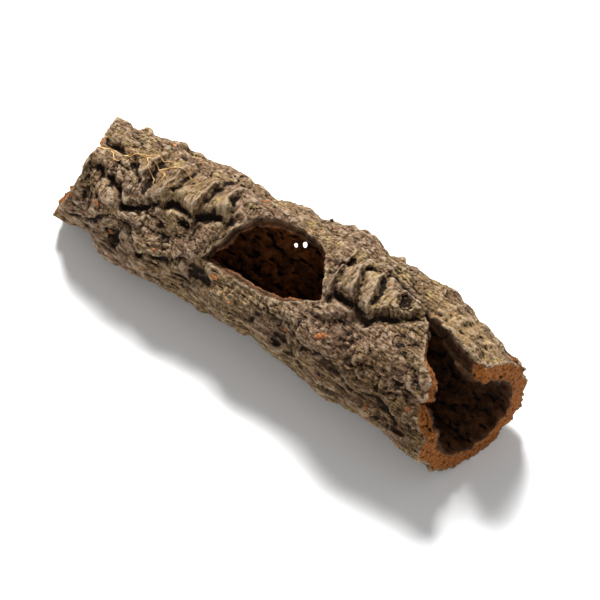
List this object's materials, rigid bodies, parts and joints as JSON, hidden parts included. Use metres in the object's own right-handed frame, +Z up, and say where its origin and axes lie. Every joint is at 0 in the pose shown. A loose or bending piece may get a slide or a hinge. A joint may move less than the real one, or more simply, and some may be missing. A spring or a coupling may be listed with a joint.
{
  "type": "cork bark tube",
  "caption": "Hollow round of weathered cork bark, open at both cut ends, with an oval knot hole through the side and a split running in from the wider mouth",
  "frame": {"origin": "The middle of the tube's length and width, on the flat that it rests on (z = 0).", "axes": "+X runs along the tube towards the mouth with the split, -Y is the front with the knot hole, +Z is up."},
  "size_m": [0.3091, 0.0955, 0.0917],
  "materials": {
    "cork_bark": "rough weathered bark, matte"
  },
  "bodies": {
    "root": {"cork_bark_tube": "cork_bark"}
  },
  "joints": []
}
